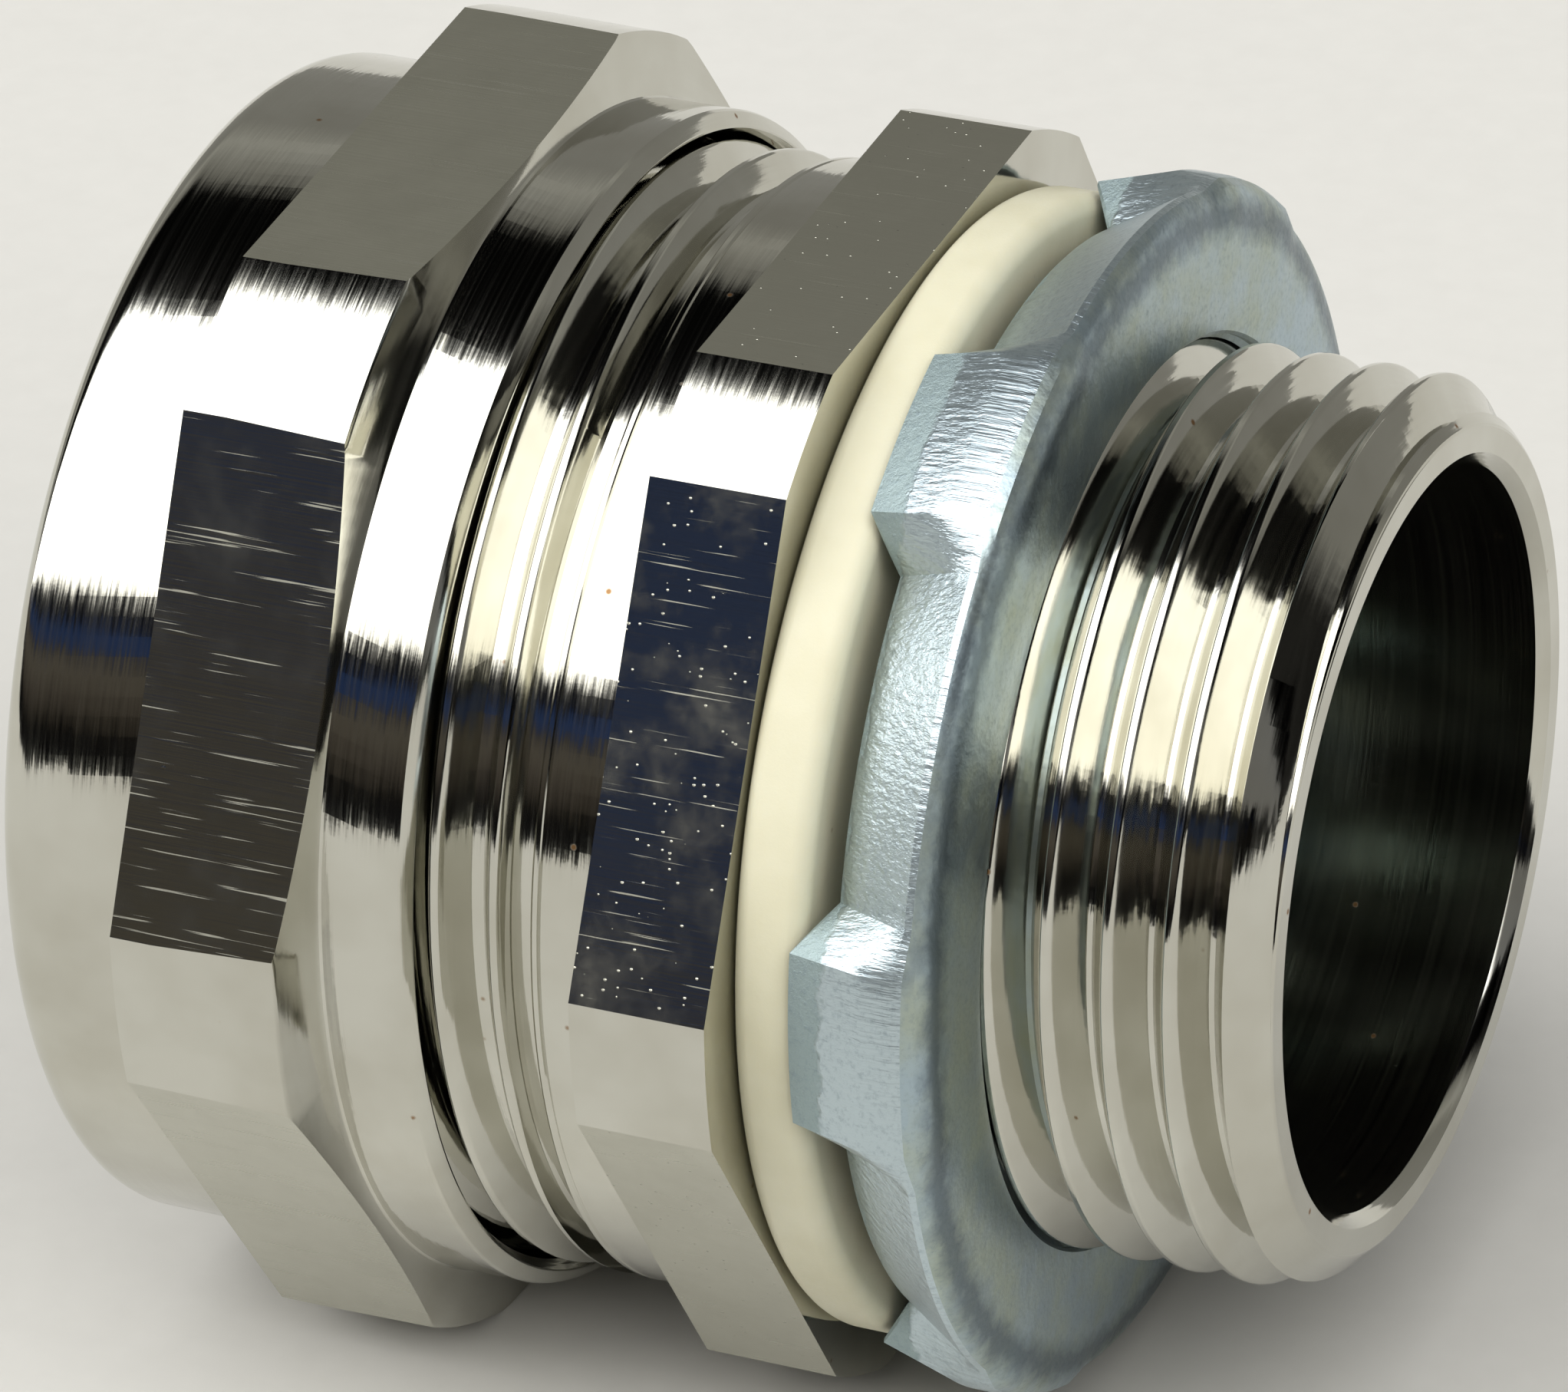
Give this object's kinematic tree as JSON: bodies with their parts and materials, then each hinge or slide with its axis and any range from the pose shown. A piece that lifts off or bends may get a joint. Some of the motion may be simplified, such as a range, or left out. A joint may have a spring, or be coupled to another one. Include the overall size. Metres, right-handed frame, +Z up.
{
  "type": "conduit compression fitting",
  "caption": "Straight compression fitting for conduit: gland nut, hexagon body with male thread, sealing washer, dished locknut, and grip and grounding rings inside.",
  "frame": {"origin": "centre of the body's seat face, on the fitting's axis, where the fitting stops against a panel", "axes": "+X along the axis, out of the male thread; +Z up, square to a flat of the seat hexagon; +Y completes a right-handed frame"},
  "size_m": [0.0367, 0.039, 0.0364],
  "materials": {
    "plated_brass": "nickel plated, turned and polished",
    "zinc_steel": "zinc plated, as stamped",
    "nylon": "natural nylon, as moulded",
    "ivory_plastic": "satin, as moulded"
  },
  "bodies": {
    "fitting_body": {"fitting_body": "plated_brass"},
    "compression_nut": {"compression_nut": "plated_brass"},
    "slip_washer": {"slip_washer": "zinc_steel"},
    "compression_ring": {"compression_ring": "nylon"},
    "grounding_ferrule": {"grounding_ferrule": "zinc_steel"},
    "sealing_washer": {"sealing_washer": "ivory_plastic"},
    "locknut": {"locknut": "zinc_steel"}
  },
  "joints": [
    {"name": "nut_advance", "type": "slide", "parent": "fitting_body", "child": "slip_washer", "axis": [1, 0, 0], "range_m": [-0.00455, 0.00274]},
    {"name": "nut_turn", "type": "hinge", "parent": "slip_washer", "child": "compression_nut", "pos_m": [-0.0155, 0, 0], "axis": [1, 0, 0], "range_deg": [-900, 540]},
    {"name": "ring_advance", "type": "slide", "parent": "fitting_body", "child": "compression_ring", "axis": [1, 0, 0], "range_m": [-0.00455, 0.00274]},
    {"name": "ferrule_slide", "type": "slide", "parent": "fitting_body", "child": "grounding_ferrule", "axis": [1, 0, 0], "range_m": [-0.0048, 0]},
    {"name": "washer_advance", "type": "slide", "parent": "fitting_body", "child": "sealing_washer", "axis": [1, 0, 0], "range_m": [0, 0.00636]},
    {"name": "locknut_turn", "type": "hinge", "parent": "sealing_washer", "child": "locknut", "pos_m": [0.006, 0, 0], "axis": [1, 0, 0], "range_deg": [0, 1260]}
  ],
  "couplings": [
    {"joint": "nut_advance", "follows": "nut_turn", "m_per_rad": 0.00028875},
    {"joint": "ring_advance", "follows": "nut_turn", "m_per_rad": 0.00028875},
    {"joint": "washer_advance", "follows": "locknut_turn", "m_per_rad": 0.00028875}
  ]
}
